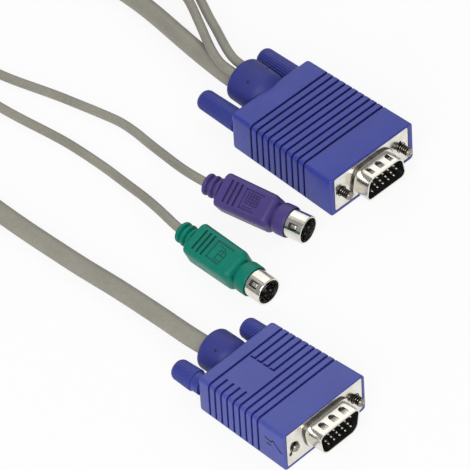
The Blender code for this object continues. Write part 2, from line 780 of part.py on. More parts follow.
B_EXIT = -HOOD_B["length"] - HOOD_B["boss"] + CABLE_IN
B_START = Vector(B_PLACE) + Matrix.Rotation(B_TURN, 2) @ Vector((B_EXIT, 0))
B_NEXT = Vector(B_PLACE) + Matrix.Rotation(B_TURN, 2) @ Vector((B_EXIT - 10, 0))
TRUNK_B = [
    (*B_START, HOOD_B["boss_z"] + TRUNK_IN_B[1]),
    (*B_NEXT, HOOD_B["boss_z"] + TRUNK_IN_B[1] - 0.5),
    (-4.8, -82.9, 4.2),
    (-22, -82.8, 3.2),
    (-40, -83.8, TRUNK_RADIUS),
    (-72, -84.4, TRUNK_RADIUS),
    (-100, -82.6, TRUNK_RADIUS),
    (-130, -79.0, TRUNK_RADIUS),
    (-160, -75.4, TRUNK_RADIUS),
    (-192.8, -73.9, TRUNK_RADIUS),
]
make_tube("trunk_b", TRUNK_B, TRUNK_RADIUS, TRUNK_STEP, 4)

RELIEF_REAR = -ROUND_SHELL_OUT - ROUND_COLLAR_LENGTH - ROUND_BODY_LENGTH - RELIEF_LENGTH
LEAD_END = RELIEF_REAR + CABLE_IN


def plug_end(place, along):
    """A point on a lead's line into its plug, in millimetres from the first hood's front."""
    return place @ Vector((along, 0, LEAD_UP)) / MM - Vector((FRAME_X, 0, 0))


LOW = LEAD_RADIUS
OVER = 2 * TRUNK_RADIUS + LEAD_RADIUS + 0.6
KEYBOARD_LEAD = [
    plug_end(KEYBOARD_PLACE, LEAD_END),
    (-36.3, -36.0, 6.6),
    (-41.0, -35.3, 5.4),
    (-46.0, -34.5, 4.2),
    (-51.0, -33.9, 3.2),
    (-56.1, -33.2, 2.3),
    (-61.3, -32.5, 1.6),
    (-66.0, -32.1, LOW),
    (-74.1, -32.5, LOW),
    (-81.4, -33.9, LOW),
    (-88.3, -35.5, LOW),
    (-96.2, -37.4, LOW),
    (-116, -42.8, LOW),
    (-135, -45.0, LOW),
    (-151, -40.6, LOW),
    (-162.5, -28.5, LOW + 0.8),
    (-166.0, -12.5, 5.0),
    (-160.5, 3.0, OVER),
    (-147.5, 14.5, 6.2),
    (-131, 20.8, 3.2),
    (-117, 21.4, 4.0),
    (-104, 19.0, 6.0),
    (-92.3, 14.4, 8.0),
    (-82.9, 9.3, 9.3),
    (-77.8, 6.4, 10.0),
    (-72.8, 3.5, 10.7),
    (-67.2, 0.6, 11.4),
    (-61.5, -1.6, 12.2),
    (A_EXIT, LEADS_IN_A[0][0], A_Z + LEADS_IN_A[0][1]),
]
make_tube("keyboard_lead", KEYBOARD_LEAD, LEAD_RADIUS, LEAD_STEP, 2)

MOUSE_LEAD = [
    plug_end(MOUSE_PLACE, LEAD_END),
    (-28.8, -54.1, 7.1),
    (-32.8, -53.0, 6.6),
    (-36.8, -52.1, 5.8),
    (-41.9, -51.1, 4.6),
    (-46.9, -50.3, 3.4),
    (-51.9, -49.7, 2.4),
    (-57, -49.3, 1.7),
    (-63, -49.2, LOW),
    (-73.9, -49.3, LOW),
    (-82, -49.8, LOW),
    (-103, -52.4, LOW),
    (-128, -53.6, LOW),
    (-150, -50.2, LOW),
    (-165.5, -39.0, LOW + 0.4),
    (-173.0, -21.5, 3.4),
    (-172.2, -2.0, OVER),
    (-161.5, 13.5, 6.4),
    (-144.5, 24.0, 3.0),
    (-124, 28.0, LOW + 0.3),
    (-110, 26.6, 3.2),
    (-100, 22.9, 5.2),
    (-90.6, 17.8, 7.0),
    (-81.8, 13.1, 8.2),
    (-75.4, 9.9, 9.3),
    (-69.1, 6.5, 10.6),
    (-63.6, 3.7, 11.8),
    (-58.9, 1.9, 12.8),
    (A_EXIT, LEADS_IN_A[1][0], A_Z + LEADS_IN_A[1][1]),
]
make_tube("mouse_lead", MOUSE_LEAD, LEAD_RADIUS, LEAD_STEP, 2)
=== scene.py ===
"""The looks of a keyboard, video and mouse cable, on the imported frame. Metres, +Z up."""

import json
import math

import bmesh
import bpy
from mathutils import Matrix, Vector
from mathutils.geometry import interpolate_bezier

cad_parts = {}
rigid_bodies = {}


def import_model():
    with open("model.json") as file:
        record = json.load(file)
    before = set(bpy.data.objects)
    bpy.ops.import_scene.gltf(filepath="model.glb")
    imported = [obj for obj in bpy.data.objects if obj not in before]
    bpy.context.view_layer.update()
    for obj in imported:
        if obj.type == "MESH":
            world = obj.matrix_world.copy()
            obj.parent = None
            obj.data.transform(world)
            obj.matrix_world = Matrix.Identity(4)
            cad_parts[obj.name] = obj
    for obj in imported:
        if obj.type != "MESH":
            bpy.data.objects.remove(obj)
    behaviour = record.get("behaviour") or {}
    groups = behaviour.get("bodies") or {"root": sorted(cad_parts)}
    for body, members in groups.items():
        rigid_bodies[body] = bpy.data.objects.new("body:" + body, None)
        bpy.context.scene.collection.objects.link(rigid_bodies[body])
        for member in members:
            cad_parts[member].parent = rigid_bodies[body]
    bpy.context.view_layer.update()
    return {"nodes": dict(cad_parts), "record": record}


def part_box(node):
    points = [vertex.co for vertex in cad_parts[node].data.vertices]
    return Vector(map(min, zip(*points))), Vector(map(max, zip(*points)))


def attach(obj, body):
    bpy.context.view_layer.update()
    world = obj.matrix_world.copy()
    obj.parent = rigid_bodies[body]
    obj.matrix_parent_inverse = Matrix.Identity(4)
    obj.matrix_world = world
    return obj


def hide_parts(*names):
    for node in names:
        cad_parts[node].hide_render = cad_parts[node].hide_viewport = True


MM = 0.001
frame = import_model()

# The first connector's own frame: its hood's front face is this far along +X.
SHELL_A_LOW, SHELL_A_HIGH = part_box("vga_a_shell")
D_LENGTH = 6.0
FRONT_A = SHELL_A_HIGH.x / MM - D_LENGTH


# Camera
IMAGE = 470
FOCAL_PIXELS = 6000.0
CENTRE_PIXEL = (233.392, 238.048)
CAMERA_AT = (916.511, -883.403, 1240.677)
YAW, PITCH, ROLL = -0.8368029, -0.7798393, -0.0625956


def make_camera():
    ahead = Vector(
        (math.sin(YAW) * math.cos(PITCH), math.cos(YAW) * math.cos(PITCH), math.sin(PITCH))
    )
    level = ahead.cross(Vector((0, 0, 1))).normalized()
    rise = level.cross(ahead)
    across = math.cos(ROLL) * level + math.sin(ROLL) * rise
    up = math.cos(ROLL) * rise - math.sin(ROLL) * level
    data = bpy.data.cameras.new("camera")
    data.sensor_width = 36
    data.lens = FOCAL_PIXELS / IMAGE * data.sensor_width
    data.shift_x = (IMAGE / 2 - CENTRE_PIXEL[0]) / IMAGE
    data.shift_y = (CENTRE_PIXEL[1] - IMAGE / 2) / IMAGE
    data.clip_end = 20
    camera = bpy.data.objects.new("camera", data)
    turn = Matrix((across, up, -ahead)).transposed().to_4x4()
    place = Vector(CAMERA_AT) + Vector((FRONT_A, 0, 0))
    camera.matrix_world = Matrix.Translation(place * MM) @ turn
    bpy.context.scene.collection.objects.link(camera)
    bpy.context.scene.camera = camera


make_camera()

# Sizes in millimetres
HOOD_A = {
    "length": 42.6,
    "front": 34.8,
    "rear": 32.6,
    "height": 14.5,
    "drop": 0.3,
    "axis": 7.5,
    "grooves": [-33.9 + 2.52 * i for i in range(10)],
    "blank": None,
    "boss": 12.0,
    "boss_radius": 7.05,
    "boss_root": 9.2,
    "boss_z": 9.8,
    "marks_back": 4.9,
    "setbacks": (0.0, 0.0),
    "tip": 3.75,
    "knob": 16.2,
    "wide_up": -1,
    "notches": ((-1.9, 0.6), (-0.4, 2.1)),
}
HOOD_B = {
    "length": 35.3,
    "front": 33.2,
    "rear": 30.8,
    "height": 14.0,
    "drop": 0.8,
    "axis": 7.3,
    "grooves": [-30.6 + 2.49 * i for i in range(9)],
    "blank": (-10.1, 0.6),
    "boss": 9.8,
    "boss_radius": 6.6,
    "boss_root": 7.1,
    "boss_z": 7.1,
    "marks_back": 4.0,
    "setbacks": (2.95, 0.0),
    "tip": 2.95,
    "knob": 8.5,
    "wide_up": 1,
    "notches": ((-1.5, -2.0), (-1.2, 1.9)),
}
B_PLACE, B_TURN = (62.336, -82.428), 0.022
KEYBOARD_RIM, KEYBOARD_TURN, KEYBOARD_ROLL = (3.5, -30.15, 6.35), math.radians(10.2), math.radians(32)
MOUSE_RIM, MOUSE_TURN, MOUSE_ROLL = (12.9, -55.72, 6.1), math.radians(-0.4), math.radians(22)
HOOD_ROUND = 1.3
GROOVE_WIDE = 0.95
GROOVE_DEEP = 0.62
BOSS_END_ROUND = 1.5
HOOK_WIDE, HOOK_LONG = 0.75, 1.3
SCREW_SPACING = 24.99
PLATE = (30.8, 12.5, 0.8)
D_SIZE, D_SLOPE, D_CORNER = (16.92, 8.36), math.radians(10), 2.5
D_MOUTH_DEEP = 6.3
SKIRT_OUT, SKIRT_LONG = 0.85, 1.1
SHELL_REAR = -0.4


def connector_at(x, y, turn):
    """From a connector's own millimetres to the part's metres."""
    move = Matrix.Translation((x + FRONT_A, y, 0))
    return Matrix.Scale(MM, 4) @ move @ Matrix.Rotation(turn, 4, "Z")


def plug_at(rim, turn, roll):
    move = Matrix.Translation((rim[0] + FRONT_A, rim[1], rim[2]))
    turned_so = Matrix.Rotation(turn, 4, "Z") @ Matrix.Rotation(roll, 4, "X")
    return Matrix.Scale(MM, 4) @ move @ turned_so


PLACE_A = connector_at(0, 0, 0)
PLACE_B = connector_at(*B_PLACE, B_TURN)
KEYBOARD_PLACE = plug_at(KEYBOARD_RIM, KEYBOARD_TURN, KEYBOARD_ROLL)
MOUSE_PLACE = plug_at(MOUSE_RIM, MOUSE_TURN, MOUSE_ROLL)


# Materials
class Socket:
    """A shader socket that takes arithmetic."""

    def __init__(self, finish, link):
        self.finish = finish
        self.link = link

    def maths(self, operation, other):
        sockets = {0: self, 1: other}
        return self.finish.node("ShaderNodeMath", {"operation": operation}, sockets)

    def __add__(self, other):
        return self.maths("ADD", other)

    def __mul__(self, other):
        return self.maths("MULTIPLY", other)

    __radd__ = __add__
    __rmul__ = __mul__


class Finish:
    """A material in the making: its nodes and the shader that they feed."""

    def __init__(self, name, **constants):
        self.material = bpy.data.materials.new(name)
        self.material.use_nodes = True
        self.tree = self.material.node_tree
        self.shader = self.tree.nodes["Principled BSDF"]
        for socket, value in constants.items():
            self.feed(socket.replace("_", " ").title(), value)
        self.place = self.node("ShaderNodeTexCoord", {}, {}, "Object")

    def node(self, kind, settings, sockets, output=0):
        made = self.tree.nodes.new(kind)
        for name, value in settings.items():
            setattr(made, name, value)
        for name, value in sockets.items():
            self.join(made.inputs[name], value)
        return Socket(self, made.outputs[output])

    def join(self, target, value):
        if isinstance(value, Socket):
            self.tree.links.new(value.link, target)
        else:
            target.default_value = value

    def feed(self, socket, value):
        name = "Specular IOR Level" if socket == "Specular" else socket
        if name == "Base Color" and not isinstance(value, Socket):
            value = (*value, 1)
        self.join(self.shader.inputs[name], value)

    def noise(self, size_mm, detail=3.0, stretch=(1, 1, 1)):
        at = self.node("ShaderNodeMapping", {}, {"Vector": self.place, "Scale": stretch})
        sockets = {"Vector": at, "Scale": 1 / (size_mm * MM), "Detail": detail}
        return self.node("ShaderNodeTexNoise", {}, sockets, "Fac")

    def mixed(self, factor, low, high):
        sockets = {"Factor": factor, 6: (*low, 1), 7: (*high, 1)}
        return self.node("ShaderNodeMix", {"data_type": "RGBA"}, sockets, 2)

    def range(self, value, low, high):
        sockets = {"Value": value, "To Min": low, "To Max": high}
        sockets.update({"From Min": 0.35, "From Max": 0.65})
        return self.node("ShaderNodeMapRange", {}, sockets)

    def bump(self, height, depth_mm, strength=1.0):
        sockets = {"Height": height, "Distance": depth_mm * MM, "Strength": strength}
        self.feed("Normal", self.node("ShaderNodeBump", {}, sockets))


def moulded(name, dark, light, shine=0.4, specular=0.5):
    """Satin moulded plastic: cloudy colour, fine spark-eroded grain and faint handling marks."""
    made = Finish(name, specular=specular)
    cloud = made.noise(11.0, 2.0)
    grain = made.noise(0.24, 2.0)
    marks = made.noise(2.6, 4.0)
    mask = made.range(cloud * 0.6 + marks * 0.25 + grain * 0.15, 0, 1)
    made.feed("Base Color", made.mixed(mask, dark, light))
    made.feed("Roughness", made.range(marks * 0.6 + grain * 0.4, shine - 0.06, shine + 0.08))
    made.bump(grain + marks * 0.4, 0.02, 0.5)
    return made.material


def plated(name, dark, light, shine, streak=(1, 1, 1)):
    """Plated sheet metal: warm and cool patches, fine drawing marks."""
    made = Finish(name, metallic=1.0)
    patch = made.noise(3.0, 3.0)
    fine = made.noise(0.35, 3.0, streak)
    made.feed("Base Color", made.mixed(made.range(patch, 0, 1), dark, light))
    made.feed("Roughness", made.range(fine * 0.6 + patch * 0.4, shine - 0.05, shine + 0.08))
    made.bump(fine, 0.006, 0.35)
    return made.material


def sheath(name, dark, light):
    """Soft matte cable sheath, slightly mottled, with a fine grain."""
    made = Finish(name, specular=0.4)
    cloud = made.noise(14.0, 2.0)
    dust = made.noise(1.2, 4.0)
    grain = made.noise(0.3, 2.0)
    mask = made.range(cloud * 0.6 + dust * 0.4, 0, 1)
    made.feed("Base Color", made.mixed(mask, dark, light))
    made.feed("Roughness", made.range(dust, 0.42, 0.54))
    made.bump(grain + dust, 0.03, 0.5)
    return made.material


BLUE = moulded("blue_moulding", (0.024, 0.037, 0.28), (0.032, 0.046, 0.32))
# Painted light: the second hood's blue is the same plastic made lighter and greyer, as if under
# brighter light.
BLUE_B_PAINTED_LIGHT = moulded("second_blue_moulding", (0.045, 0.06, 0.3), (0.056, 0.074, 0.345))
KNOB_BLUE = moulded("blue_knobs", (0.024, 0.034, 0.235), (0.032, 0.043, 0.27))
# Painted shade: darker copies of the hood blues for the faces sunk into the grooves, the second
# hood's a little lighter.
BLUE_SHADE = moulded("blue_in_grooves", (0.008, 0.009, 0.085), (0.011, 0.012, 0.105), 0.5)
BLUE_SHADE_B = moulded("blue_in_grooves_b", (0.014, 0.015, 0.17), (0.018, 0.02, 0.2), 0.5)
# Painted shade: a darker copy of the hood blue for the strain relief behind each hood.
BOSS_BLUE_SHADE = moulded("blue_strain_relief", (0.02, 0.026, 0.19), (0.026, 0.033, 0.225), 0.58)
# Painted shade: BLUE_DEEP, PURPLE_DEEP and GREEN_DEEP are near-black tints of the mouldings for sunk
# bars, pressed signs and small marks.
BLUE_DEEP = moulded("blue_shade", (0.007, 0.008, 0.035), (0.011, 0.012, 0.05), 0.6)
PURPLE = moulded("purple_moulding", (0.064, 0.044, 0.185), (0.079, 0.055, 0.215), specular=0.22)
PURPLE_DEEP = moulded("purple_shade", (0.02, 0.01, 0.085), (0.028, 0.015, 0.105), 0.6)
GREEN = moulded("green_moulding", (0.001, 0.17, 0.118), (0.003, 0.2, 0.14), specular=0.22)
GREEN_DEEP = moulded("green_shade", (0.001, 0.06, 0.045), (0.002, 0.08, 0.058), 0.6)
# Black plastic, also used as painted shade inside the D shells and in the screw openings.
BLACK = moulded("black_moulding", (0.006, 0.006, 0.007), (0.011, 0.011, 0.012))
BAND = moulded("tie_band", (0.013, 0.013, 0.014), (0.02, 0.02, 0.021), 0.55)
NICKEL = plated("nickel_plate", (0.74, 0.71, 0.63), (0.84, 0.82, 0.76), 0.2)
PIN_PLATE = plated("contact_plate", (0.4, 0.385, 0.35), (0.5, 0.48, 0.44), 0.3)
NICKEL_SHADE = plated("nickel_in_shade", (0.1, 0.095, 0.085), (0.2, 0.19, 0.17), 0.35)
STEEL = plated("screw_steel", (0.24, 0.22, 0.18), (0.38, 0.35, 0.3), 0.22, (1, 6, 6))
# Painted shade: near-black steel for the thread roots.
STEEL_ROOT_SHADE = plated("thread_roots", (0.035, 0.03, 0.025), (0.07, 0.06, 0.05), 0.4)
CABLE = sheath("cable_sheath", (0.245, 0.235, 0.195), (0.3, 0.288, 0.24))

FINISHES = {
    "blue_plastic": BLUE,
    "purple_plastic": PURPLE,
    "green_plastic": GREEN,
    "black_plastic": BLACK,
    "nickel": NICKEL,
    "contact_metal": PIN_PLATE,
    "screw_steel": STEEL,
    "cable_sheath": CABLE,
    "tie_band": BAND,
}
for part in frame["record"]["subparts"]:
    node = frame["nodes"][part["node"]]
    node.data.materials.clear()
    node.data.materials.append(FINISHES[part["material_slot"]])


# Modelling
def block(low, high):
    """A box between two corners."""
    shape = bmesh.new()
    bmesh.ops.create_cube(shape, size=1)
    low, high = Vector(low), Vector(high)
    size = Matrix.Diagonal((*(high - low), 1))
    shape.transform(Matrix.Translation((low + high) / 2) @ size)
    return shape


def turned(profile, steps):
    """A round piece spun about the X axis from (x, radius) pairs that start and end on it."""
    shape = bmesh.new()
    spots = [shape.verts.new((x, r, 0)) for x, r in profile]
    for a, b in zip(spots, spots[1:]):
        shape.edges.new((a, b))
    bmesh.ops.spin(
        shape,
        geom=shape.verts[:] + shape.edges[:],
        axis=(1, 0, 0),
        angle=2 * math.pi,
        steps=steps,
        use_merge=True,
    )
    bmesh.ops.remove_doubles(shape, verts=shape.verts, dist=1e-4)
    return shape


def joined(*shapes):
    whole = bmesh.new()
    for shape in shapes:
        mesh = bpy.data.meshes.new("joined")
        shape.to_mesh(mesh)
        shape.free()
        whole.from_mesh(mesh)
        bpy.data.meshes.remove(mesh)
    return whole


def edges_of(shape, test):
    return [e for e in shape.edges if test(*(v.co for v in e.verts))]


def faces_of(shape, test):
    shape.normal_update()
    return [f for f in shape.faces if test(f.calc_center_median(), f.normal)]


def round_off(shape, edges, radius, segments):
    bmesh.ops.bevel(
        shape,
        geom=edges,
        offset=radius,
        offset_type="OFFSET",
        segments=segments,
        profile=0.5,
        affect="EDGES",
        clamp_overlap=True,
        material=-1,
    )


def cut_across(shape, axis, spots, test=None):
    """Cuts the shape, or the faces that pass the test, at each spot along an axis."""
    for spot in spots:
        faces = faces_of(shape, test) if test else shape.faces[:]
        edges = {e for f in faces for e in f.edges}
        verts = {v for f in faces for v in f.verts}
        at, normal = Vector((0, 0, 0)), Vector((0, 0, 0))
        at[axis], normal[axis] = spot, 1
        geom = [*faces, *edges, *verts]
        bmesh.ops.bisect_plane(shape, geom=geom, dist=1e-5, plane_co=at, plane_no=normal)


def inset(shape, faces, thickness, depth):
    """Insets faces and returns the faces made round them."""
    made = bmesh.ops.inset_region(
        shape,
        faces=faces,
        thickness=thickness,
        depth=depth,
        use_even_offset=True,
        use_boundary=True,
    )
    return made["faces"]


# The finishes of one piece, by the number that its faces carry: 1 picks the piece's painted-shade
# finish, 2 the strain relief's painted-shade blue or the black inside the D shell.
SHADED = STEEP = 1
BOSS = INSIDE_SHELL = 2


def sink(shape, faces, depth, chamfer=0.12):
    """Presses faces inwards, with a small chamfer round the opening, and colours them with painted
    shade.
    """
    inset(shape, faces, chamfer, -chamfer)
    walls = inset(shape, faces, 0.03, chamfer - depth)
    for face in faces + walls:
        face.material_index = SHADED


SHARP_ANGLE = math.radians(32)


def add_piece(name, shape, place, finishes, body="cable", stands_for=()):
    """A finished piece; a face's material_index picks its finish."""
    bmesh.ops.recalc_face_normals(shape, faces=shape.faces)
    shape.transform(place)
    mesh = bpy.data.meshes.new(name)
    shape.to_mesh(mesh)
    shape.free()
    for face in mesh.polygons:
        face.use_smooth = True
    mesh.set_sharp_from_angle(angle=SHARP_ANGLE)
    for finish in finishes if isinstance(finishes, tuple) else (finishes,):
        mesh.materials.append(finish)
    made = bpy.data.objects.new(name, mesh)
    bpy.context.scene.collection.objects.link(made)
    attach(made, body)
    if stands_for:
        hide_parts(*stands_for)
    return made


# Hoods
def hood_shape(spec):
    """The moulded box: tapered, rounded, grooved across, with a pocket for the flange."""
    length, half = spec["length"], spec["front"] / 2
    shape = block((-length, -half, 0), (0, half, spec["height"]))
    for v in shape.verts:
        if v.co.x < -1:
            v.co.y *= spec["rear"] / spec["front"]
            v.co.z -= spec["drop"] if v.co.z > 1 else 0
    lengthwise = edges_of(shape, lambda a, b: abs(a.x - b.x) > 1)
    rear = edges_of(shape, lambda a, b: max(a.x, b.x) < -1)
    round_off(shape, lengthwise + rear, HOOD_ROUND, 6)
    front = edges_of(shape, lambda a, b: min(a.x, b.x) > -0.001)
    round_off(shape, front, 0.3, 3)
    cut_grooves(shape, spec)
    pocket = faces_of(shape, lambda c, n: n.x > 0.99 and c.x > -0.01)
    inset(shape, pocket, 0.4, 0)
    spots = {v for f in pocket for v in f.verts}
    low = [min(v.co[i] for v in spots) for i in (1, 2)]
    high = [max(v.co[i] for v in spots) for i in (1, 2)]
    for v in spots:
        for i, size, middle in ((1, PLATE[0], 0), (2, PLATE[1], spec["axis"])):
            share = (v.co[i] - low[i - 1]) / (high[i - 1] - low[i - 1]) - 0.5
            v.co[i] = middle + share * (size + 0.3)
    inset(shape, pocket, 0.02, -0.95)
    return shape


def cut_grooves(shape, spec):
    grooves, blank = spec["grooves"], spec["blank"]
    wide = GROOVE_WIDE / 2
    cut_across(shape, 0, [g + side * wide for g in grooves for side in (-1, 1)])
    if blank:
        left, right = blank
        cut_across(shape, 1, [left, right, right + HOOK_WIDE], lambda c, n: n.z > 0.9)
        hooks = [g - wide - HOOK_LONG for g in grooves[1:5]]
        cut_across(shape, 0, hooks, lambda c, n: n.z > 0.9 and right < c.y < right + HOOK_WIDE)

    def in_groove(c, n):
        if n.z < -0.3 or abs(n.x) > 0.9:
            return False
        number = min(range(len(grooves)), key=lambda i: abs(grooves[i] - c.x))
        offset = c.x - grooves[number]
        if blank and 1 <= number <= 4 and n.z > 0.9:
            if left < c.y < right:
                return False
            if right < c.y < right + HOOK_WIDE:
                return -wide - HOOK_LONG < offset < wide
        return abs(offset) < wide

    sink(shape, faces_of(shape, in_groove), GROOVE_DEEP)


def boss_shape(spec):
    """The round strain relief behind the hood."""
    full, long = spec["boss_radius"], spec["boss"]
    profile = [(2.2, 0), (2.2, full - 3.2), (1.4, full - 2.2), (0.5, full - 1.35)]
    profile += [(-0.3, full - 0.7), (-1.1, full - 0.25), (-2.0, full - 0.05), (-3.0, full)]
    edge = BOSS_END_ROUND
    for i in range(9):
        a = math.pi / 2 * i / 8
        profile.append((edge * (1 - math.sin(a)) - long, full - edge * (1 - math.cos(a))))
    profile.append((-long, 0))
    shape = turned(profile, 96)
    tilt = math.atan2(spec["boss_z"] - spec["boss_root"], long)
    shape.transform(Matrix.Rotation(tilt, 4, "Y"))
    shape.transform(Matrix.Translation((-spec["length"], 0, spec["boss_root"])))
    return shape


# Raised strokes on the second hood's left side, as (x, z) from its front face and floor.
STROKE_HALF_WIDE, STROKE_HALF_THICK, STROKE_SUNK, STROKE_ENDS = 0.22, 0.1, 0.03, 0.2
SIDE_MARK = (
    ((-7.7, 8.9), (-5.4, 8.5)),
    ((-5.4, 8.5), (-4.5, 9.4)),
    ((-4.5, 9.4), (-1.6, 6.9)),
    ((-1.6, 6.9), (-0.9, 6.9)),
    ((-6.9, 7.0), (-5.5, 6.9)),
)


def side_mark(spec):
    side = -spec["front"] / 2 + STROKE_SUNK
    taper = (spec["front"] - spec["rear"]) / 2 / spec["length"]
    strokes = []
    for start, end in SIDE_MARK:
        start, end = Vector(start), Vector(end)
        long = (end - start).length
        corner = Vector((STROKE_ENDS, STROKE_HALF_THICK, STROKE_HALF_WIDE))
        mark = block(-corner, corner + Vector((long, 0, 0)))
        lean = Matrix.Rotation(-math.atan2(end.y - start.y, end.x - start.x), 4, "Y")
        mark.transform(Matrix.Translation((start.x, side, start.y)) @ lean)
        for v in mark.verts:
            v.co.y -= taper * v.co.x
        strokes.append(mark)
    return strokes


EJECTOR_RADIUS, EJECTOR_ANGLE = 0.42, math.radians(35)


def ejector_marks(spec):
    """Two small round marks on top of the strain relief."""
    marks = []
    back = spec["marks_back"]
    rise = (spec["boss_z"] - spec["boss_root"]) * back / spec["boss"]
    for side in (-1, 1):
        mark = turned([(0.1, 0), (0.1, EJECTOR_RADIUS), (-0.3, EJECTOR_RADIUS), (-0.3, 0)], 20)
        mark.transform(Matrix.Rotation(-math.pi / 2, 4, "Y"))
        mark.transform(Matrix.Translation((0, 0, spec["boss_radius"])))
        mark.transform(Matrix.Rotation(side * EJECTOR_ANGLE, 4, "X"))
        mark.transform(Matrix.Translation((-spec["length"] - back, 0, spec["boss_root"] + rise)))
        marks.append(mark)
    return joined(*marks)


# Thumbscrews
KNOB_FRONT, KNOB_REAR = 3.55, 3.3
KNOB_ROUND = 1.9
KNOB_RIBS = 26
RIB_DEEP = 0.22
RIB_START, RIB_FADE = 1.5, 1.2
NECK_RADIUS = 3.1
COLLAR_RADIUS = 2.3


def knob_shape(spec, number):
    """A ribbed grip with a domed end, and its collar into the hood."""
    back = spec["setbacks"][number - 1]
    neck = -spec["length"] - 0.3
    front, rear = neck - back, -spec["length"] - spec["knob"] - back
    profile = [(neck + 3, 0), (neck + 3, COLLAR_RADIUS), (neck, COLLAR_RADIUS)]
    if back:
        profile += [(neck, NECK_RADIUS), (front, NECK_RADIUS)]
    profile += [(front, KNOB_FRONT - 0.35), (front - 0.12, KNOB_FRONT - 0.1)]
    profile.append((front - 0.35, KNOB_FRONT))
    grip = rear + KNOB_ROUND
    for i in range(1, 6):
        share = i / 6
        radius = KNOB_FRONT + (KNOB_REAR - KNOB_FRONT) * share
        profile.append((front + (grip - front) * share, radius))
    for i in range(9):
        a = math.pi / 2 * i / 8
        radius = KNOB_REAR - KNOB_ROUND * (1 - math.cos(a))
        profile.append((grip - KNOB_ROUND * math.sin(a), radius))
    profile.append((rear, 0))
    shape = turned(profile, 5 * KNOB_RIBS)
    for v in shape.verts:
        radius = math.hypot(v.co.y, v.co.z)
        if v.co.x > front - 0.3 or radius < RIB_START:
            continue
        fade = min((radius - RIB_START) / RIB_FADE, 1)
        wave = 0.5 - 0.5 * math.cos(KNOB_RIBS * math.atan2(v.co.z, v.co.y))
        shrink = 1 - RIB_DEEP * fade * wave**2 / radius
        v.co.y *= shrink
        v.co.z *= shrink
    shape.transform(Matrix.Translation((0, side_of(number) * SCREW_SPACING / 2, spec["axis"])))
    return shape


SCREW_CREST, SCREW_ROOT, SCREW_PITCH = 1.36, 1.0, 0.72
SCREW_LEAST = 1.25


def screw_shape(spec, number):
    """The threaded end: crests with rounded roots, and a shallow dished tip."""
    tip = max(spec["tip"] - spec["setbacks"][number - 1], SCREW_LEAST)
    profile = [(-1.6, 0), (-1.6, SCREW_CREST)]
    x = tip - 0.45 - SCREW_PITCH * math.floor((tip + 1.0) / SCREW_PITCH)
    while x < tip - 0.5:
        profile += [(x, SCREW_CREST), (x + 0.1, SCREW_CREST), (x + 0.3, SCREW_ROOT)]
        profile += [(x + 0.42, SCREW_ROOT), (x + 0.62, SCREW_CREST)]
        x += SCREW_PITCH
    profile += [(tip - 0.4, SCREW_CREST), (tip - 0.12, 1.22), (tip, 0.95), (tip, 0.6)]
    profile += [(tip - 0.2, 0.45), (tip - 0.2, 0)]
    shape = turned(profile, 40)

    def in_thread(c, n):
        return c.x < tip - 0.45 and math.hypot(c.y, c.z) < SCREW_CREST - 0.12

    # Painted shade: the thread roots take the near-black steel.
    for face in faces_of(shape, in_thread):
        face.material_index = SHADED
    shape.transform(Matrix.Translation((0, side_of(number) * SCREW_SPACING / 2, spec["axis"])))
    return shape


def side_of(number):
    return -1 if number == 1 else 1


# D shells
def d_block(low, high, grow, spec):
    """The D shape as a solid along X, larger all round by grow."""
    half = D_SIZE[1] / 2 + grow
    middle = D_SIZE[0] / 2 - D_SIZE[1] / 2 * math.tan(D_SLOPE) + grow / math.cos(D_SLOPE)
    shape = block((low, -middle, -half), (high, middle, half))
    for v in shape.verts:
        lean = v.co.z * math.tan(D_SLOPE) * spec["wide_up"]
        v.co.y *= 1 + lean / abs(v.co.y)
    lengthwise = edges_of(shape, lambda a, b: abs(a.x - b.x) > 0.5)
    round_off(shape, lengthwise, D_CORNER + grow, 10)
    return shape


DIMPLES = (-4.1, 0, 4.1)
DIMPLE_HALF, DIMPLE_REAR, DIMPLE_FRONT, DIMPLE_DEEP = 1.05, 1.9, 4.8, 0.7
DIMPLE_WALL = 0.22
DIMPLE_GRID = 0.1


def pressed_in(x, y):
    """How deep a dimple is at a point of the upper side, in millimetres."""
    across = min(abs(y - middle) for middle in DIMPLES)
    along = min(x - DIMPLE_REAR - DIMPLE_HALF, 0)
    room = DIMPLE_HALF - math.hypot(along, across)
    if room <= 0 or x > DIMPLE_FRONT:
        return 0
    share = (DIMPLE_FRONT - x) / (DIMPLE_FRONT - DIMPLE_REAR)
    return DIMPLE_DEEP * (0.1 + 0.9 * share) * min(room / DIMPLE_WALL, 1)


def press_dimples(shape):
    """Three U-shaped dimples in the upper side, deep at the rear and running out forwards."""
    top = D_SIZE[1] / 2

    def on_top(c, n):
        return n.z > 0.99

    rear = DIMPLE_REAR - DIMPLE_GRID
    reach = DIMPLES[-1] + DIMPLE_HALF + DIMPLE_GRID
    count = math.ceil(2 * reach / DIMPLE_GRID)
    cut_across(shape, 1, [reach * (2 * i / count - 1) for i in range(count + 1)], on_top)
    count = math.ceil((DIMPLE_FRONT - DIMPLE_REAR + 2 * DIMPLE_GRID) / DIMPLE_GRID)
    cut_across(shape, 0, [rear + DIMPLE_GRID * i for i in range(count + 1)], on_top)
    for v in shape.verts:
        if v.co.z > top - 1e-4:
            v.co.z -= pressed_in(v.co.x, v.co.y)

    def on_slope(c, n):
        inside = top - DIMPLE_DEEP - 0.1 < c.z < top - 0.01 and abs(c.y) < reach
        return inside and n.z < 0.85 and rear < c.x < DIMPLE_FRONT

    # Painted shade: the dimples' steep walls take the dark nickel.
    for face in faces_of(shape, on_slope):
        face.material_index = STEEP


